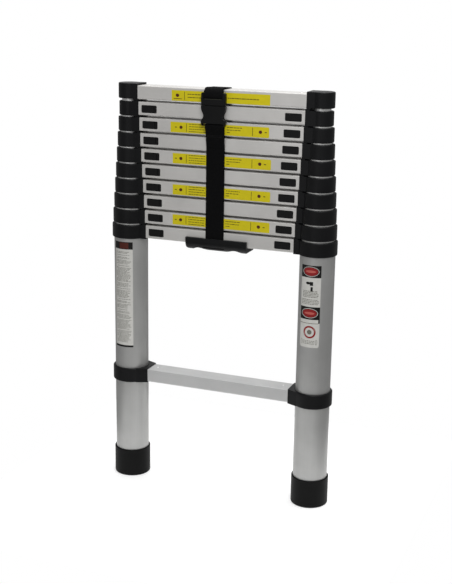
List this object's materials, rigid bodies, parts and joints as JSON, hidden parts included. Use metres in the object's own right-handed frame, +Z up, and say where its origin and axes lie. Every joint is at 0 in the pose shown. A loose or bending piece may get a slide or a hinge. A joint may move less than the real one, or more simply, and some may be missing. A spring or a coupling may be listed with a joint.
{
  "type": "telescoping ladder",
  "caption": "Stowed telescoping ladder: nested round aluminium stiles in black collars, a stack of flat rungs with thumb locks, a fixed lower rung, a strap with buckle, and a carry handle.",
  "frame": {"origin": "on the floor, midway between the two feet", "axes": "+X along the rungs, to the right as seen by someone facing the climbing side; +Y from the climbing side to the back; +Z up along the stiles"},
  "size_m": [0.4674, 0.0764, 0.8106],
  "materials": {
    "tube_aluminium": "satin natural anodised tube",
    "rung_aluminium": "satin extruded rung",
    "black_nylon": "satin moulded nylon",
    "black_rubber": "matt moulded rubber",
    "lock_plastic": "satin moulded thumb slide",
    "black_webbing": "woven webbing",
    "buckle_plastic": "semi-gloss moulded acetal",
    "zinc_steel": "zinc plated",
    "label_yellow": "printed vinyl, yellow",
    "label_white": "printed vinyl, off-white",
    "label_black": "printed vinyl, black",
    "label_red": "printed vinyl, red"
  },
  "bodies": {
    "base": {"feet": "black_rubber", "fixed_rung": "rung_aluminium", "fixed_rung_brackets": "black_nylon", "tubes_01": "tube_aluminium", "rung_01": "rung_aluminium", "collars_01": "black_nylon", "handle": "black_nylon", "handle_screws": "zinc_steel"},
    "lock_01_left": {"lock_01_left": "lock_plastic"},
    "lock_01_right": {"lock_01_right": "lock_plastic"},
    "section_02": {"tubes_02": "tube_aluminium", "rung_02": "rung_aluminium", "collars_02": "black_nylon"},
    "lock_02_left": {"lock_02_left": "lock_plastic"},
    "lock_02_right": {"lock_02_right": "lock_plastic"},
    "section_03": {"tubes_03": "tube_aluminium", "rung_03": "rung_aluminium", "collars_03": "black_nylon"},
    "lock_03_left": {"lock_03_left": "lock_plastic"},
    "lock_03_right": {"lock_03_right": "lock_plastic"},
    "section_04": {"tubes_04": "tube_aluminium", "rung_04": "rung_aluminium", "collars_04": "black_nylon"},
    "lock_04_left": {"lock_04_left": "lock_plastic"},
    "lock_04_right": {"lock_04_right": "lock_plastic"},
    "section_05": {"tubes_05": "tube_aluminium", "rung_05": "rung_aluminium", "collars_05": "black_nylon"},
    "lock_05_left": {"lock_05_left": "lock_plastic"},
    "lock_05_right": {"lock_05_right": "lock_plastic"},
    "section_06": {"tubes_06": "tube_aluminium", "rung_06": "rung_aluminium", "collars_06": "black_nylon"},
    "lock_06_left": {"lock_06_left": "lock_plastic"},
    "lock_06_right": {"lock_06_right": "lock_plastic"},
    "section_07": {"tubes_07": "tube_aluminium", "rung_07": "rung_aluminium", "collars_07": "black_nylon"},
    "lock_07_left": {"lock_07_left": "lock_plastic"},
    "lock_07_right": {"lock_07_right": "lock_plastic"},
    "section_08": {"tubes_08": "tube_aluminium", "rung_08": "rung_aluminium", "collars_08": "black_nylon"},
    "lock_08_left": {"lock_08_left": "lock_plastic"},
    "lock_08_right": {"lock_08_right": "lock_plastic"},
    "section_09": {"tubes_09": "tube_aluminium", "rung_09": "rung_aluminium", "collars_09": "black_nylon"},
    "lock_09_left": {"lock_09_left": "lock_plastic"},
    "lock_09_right": {"lock_09_right": "lock_plastic"},
    "section_10": {"tubes_10": "tube_aluminium", "rung_10": "rung_aluminium", "top_caps": "black_nylon", "strap_over_rungs": "black_webbing", "buckle_plug": "buckle_plastic", "buckle_prongs": "buckle_plastic"},
    "front_strap": {"strap_front": "black_webbing", "buckle_socket": "buckle_plastic"}
  },
  "joints": [
    {"name": "lock_01_left_push", "type": "slide", "parent": "base", "child": "lock_01_left", "axis": [1, 0, 0], "range_m": [0, 0.0065], "stiffness_N_per_m": 150, "springref_m": -0.008},
    {"name": "lock_01_right_push", "type": "slide", "parent": "base", "child": "lock_01_right", "axis": [-1, 0, 0], "range_m": [0, 0.0065], "stiffness_N_per_m": 150, "springref_m": -0.008},
    {"name": "section_02_slide", "type": "slide", "parent": "base", "child": "section_02", "axis": [0, 0, 1], "range_m": [0, 0.2698]},
    {"name": "lock_02_left_push", "type": "slide", "parent": "section_02", "child": "lock_02_left", "axis": [1, 0, 0], "range_m": [0, 0.0065], "stiffness_N_per_m": 150, "springref_m": -0.008},
    {"name": "lock_02_right_push", "type": "slide", "parent": "section_02", "child": "lock_02_right", "axis": [-1, 0, 0], "range_m": [0, 0.0065], "stiffness_N_per_m": 150, "springref_m": -0.008},
    {"name": "section_03_slide", "type": "slide", "parent": "section_02", "child": "section_03", "axis": [0, 0, 1], "range_m": [0, 0.2698]},
    {"name": "lock_03_left_push", "type": "slide", "parent": "section_03", "child": "lock_03_left", "axis": [1, 0, 0], "range_m": [0, 0.0065], "stiffness_N_per_m": 150, "springref_m": -0.008},
    {"name": "lock_03_right_push", "type": "slide", "parent": "section_03", "child": "lock_03_right", "axis": [-1, 0, 0], "range_m": [0, 0.0065], "stiffness_N_per_m": 150, "springref_m": -0.008},
    {"name": "section_04_slide", "type": "slide", "parent": "section_03", "child": "section_04", "axis": [0, 0, 1], "range_m": [0, 0.2698]},
    {"name": "lock_04_left_push", "type": "slide", "parent": "section_04", "child": "lock_04_left", "axis": [1, 0, 0], "range_m": [0, 0.0065], "stiffness_N_per_m": 150, "springref_m": -0.008},
    {"name": "lock_04_right_push", "type": "slide", "parent": "section_04", "child": "lock_04_right", "axis": [-1, 0, 0], "range_m": [0, 0.0065], "stiffness_N_per_m": 150, "springref_m": -0.008},
    {"name": "section_05_slide", "type": "slide", "parent": "section_04", "child": "section_05", "axis": [0, 0, 1], "range_m": [0, 0.2698]},
    {"name": "lock_05_left_push", "type": "slide", "parent": "section_05", "child": "lock_05_left", "axis": [1, 0, 0], "range_m": [0, 0.0065], "stiffness_N_per_m": 150, "springref_m": -0.008},
    {"name": "lock_05_right_push", "type": "slide", "parent": "section_05", "child": "lock_05_right", "axis": [-1, 0, 0], "range_m": [0, 0.0065], "stiffness_N_per_m": 150, "springref_m": -0.008},
    {"name": "section_06_slide", "type": "slide", "parent": "section_05", "child": "section_06", "axis": [0, 0, 1], "range_m": [0, 0.2698]},
    {"name": "lock_06_left_push", "type": "slide", "parent": "section_06", "child": "lock_06_left", "axis": [1, 0, 0], "range_m": [0, 0.0065], "stiffness_N_per_m": 150, "springref_m": -0.008},
    {"name": "lock_06_right_push", "type": "slide", "parent": "section_06", "child": "lock_06_right", "axis": [-1, 0, 0], "range_m": [0, 0.0065], "stiffness_N_per_m": 150, "springref_m": -0.008},
    {"name": "section_07_slide", "type": "slide", "parent": "section_06", "child": "section_07", "axis": [0, 0, 1], "range_m": [0, 0.2698]},
    {"name": "lock_07_left_push", "type": "slide", "parent": "section_07", "child": "lock_07_left", "axis": [1, 0, 0], "range_m": [0, 0.0065], "stiffness_N_per_m": 150, "springref_m": -0.008},
    {"name": "lock_07_right_push", "type": "slide", "parent": "section_07", "child": "lock_07_right", "axis": [-1, 0, 0], "range_m": [0, 0.0065], "stiffness_N_per_m": 150, "springref_m": -0.008},
    {"name": "section_08_slide", "type": "slide", "parent": "section_07", "child": "section_08", "axis": [0, 0, 1], "range_m": [0, 0.2698]},
    {"name": "lock_08_left_push", "type": "slide", "parent": "section_08", "child": "lock_08_left", "axis": [1, 0, 0], "range_m": [0, 0.0065], "stiffness_N_per_m": 150, "springref_m": -0.008},
    {"name": "lock_08_right_push", "type": "slide", "parent": "section_08", "child": "lock_08_right", "axis": [-1, 0, 0], "range_m": [0, 0.0065], "stiffness_N_per_m": 150, "springref_m": -0.008},
    {"name": "section_09_slide", "type": "slide", "parent": "section_08", "child": "section_09", "axis": [0, 0, 1], "range_m": [0, 0.2698]},
    {"name": "lock_09_left_push", "type": "slide", "parent": "section_09", "child": "lock_09_left", "axis": [1, 0, 0], "range_m": [0, 0.0065], "stiffness_N_per_m": 150, "springref_m": -0.008},
    {"name": "lock_09_right_push", "type": "slide", "parent": "section_09", "child": "lock_09_right", "axis": [-1, 0, 0], "range_m": [0, 0.0065], "stiffness_N_per_m": 150, "springref_m": -0.008},
    {"name": "section_10_slide", "type": "slide", "parent": "section_09", "child": "section_10", "axis": [0, 0, 1], "range_m": [0, 0.2698]},
    {"name": "buckle_release", "type": "slide", "parent": "section_10", "child": "front_strap", "axis": [0, 0, -1], "range_m": [0, 0.03], "deforming": ["buckle_prongs"]}
  ]
}
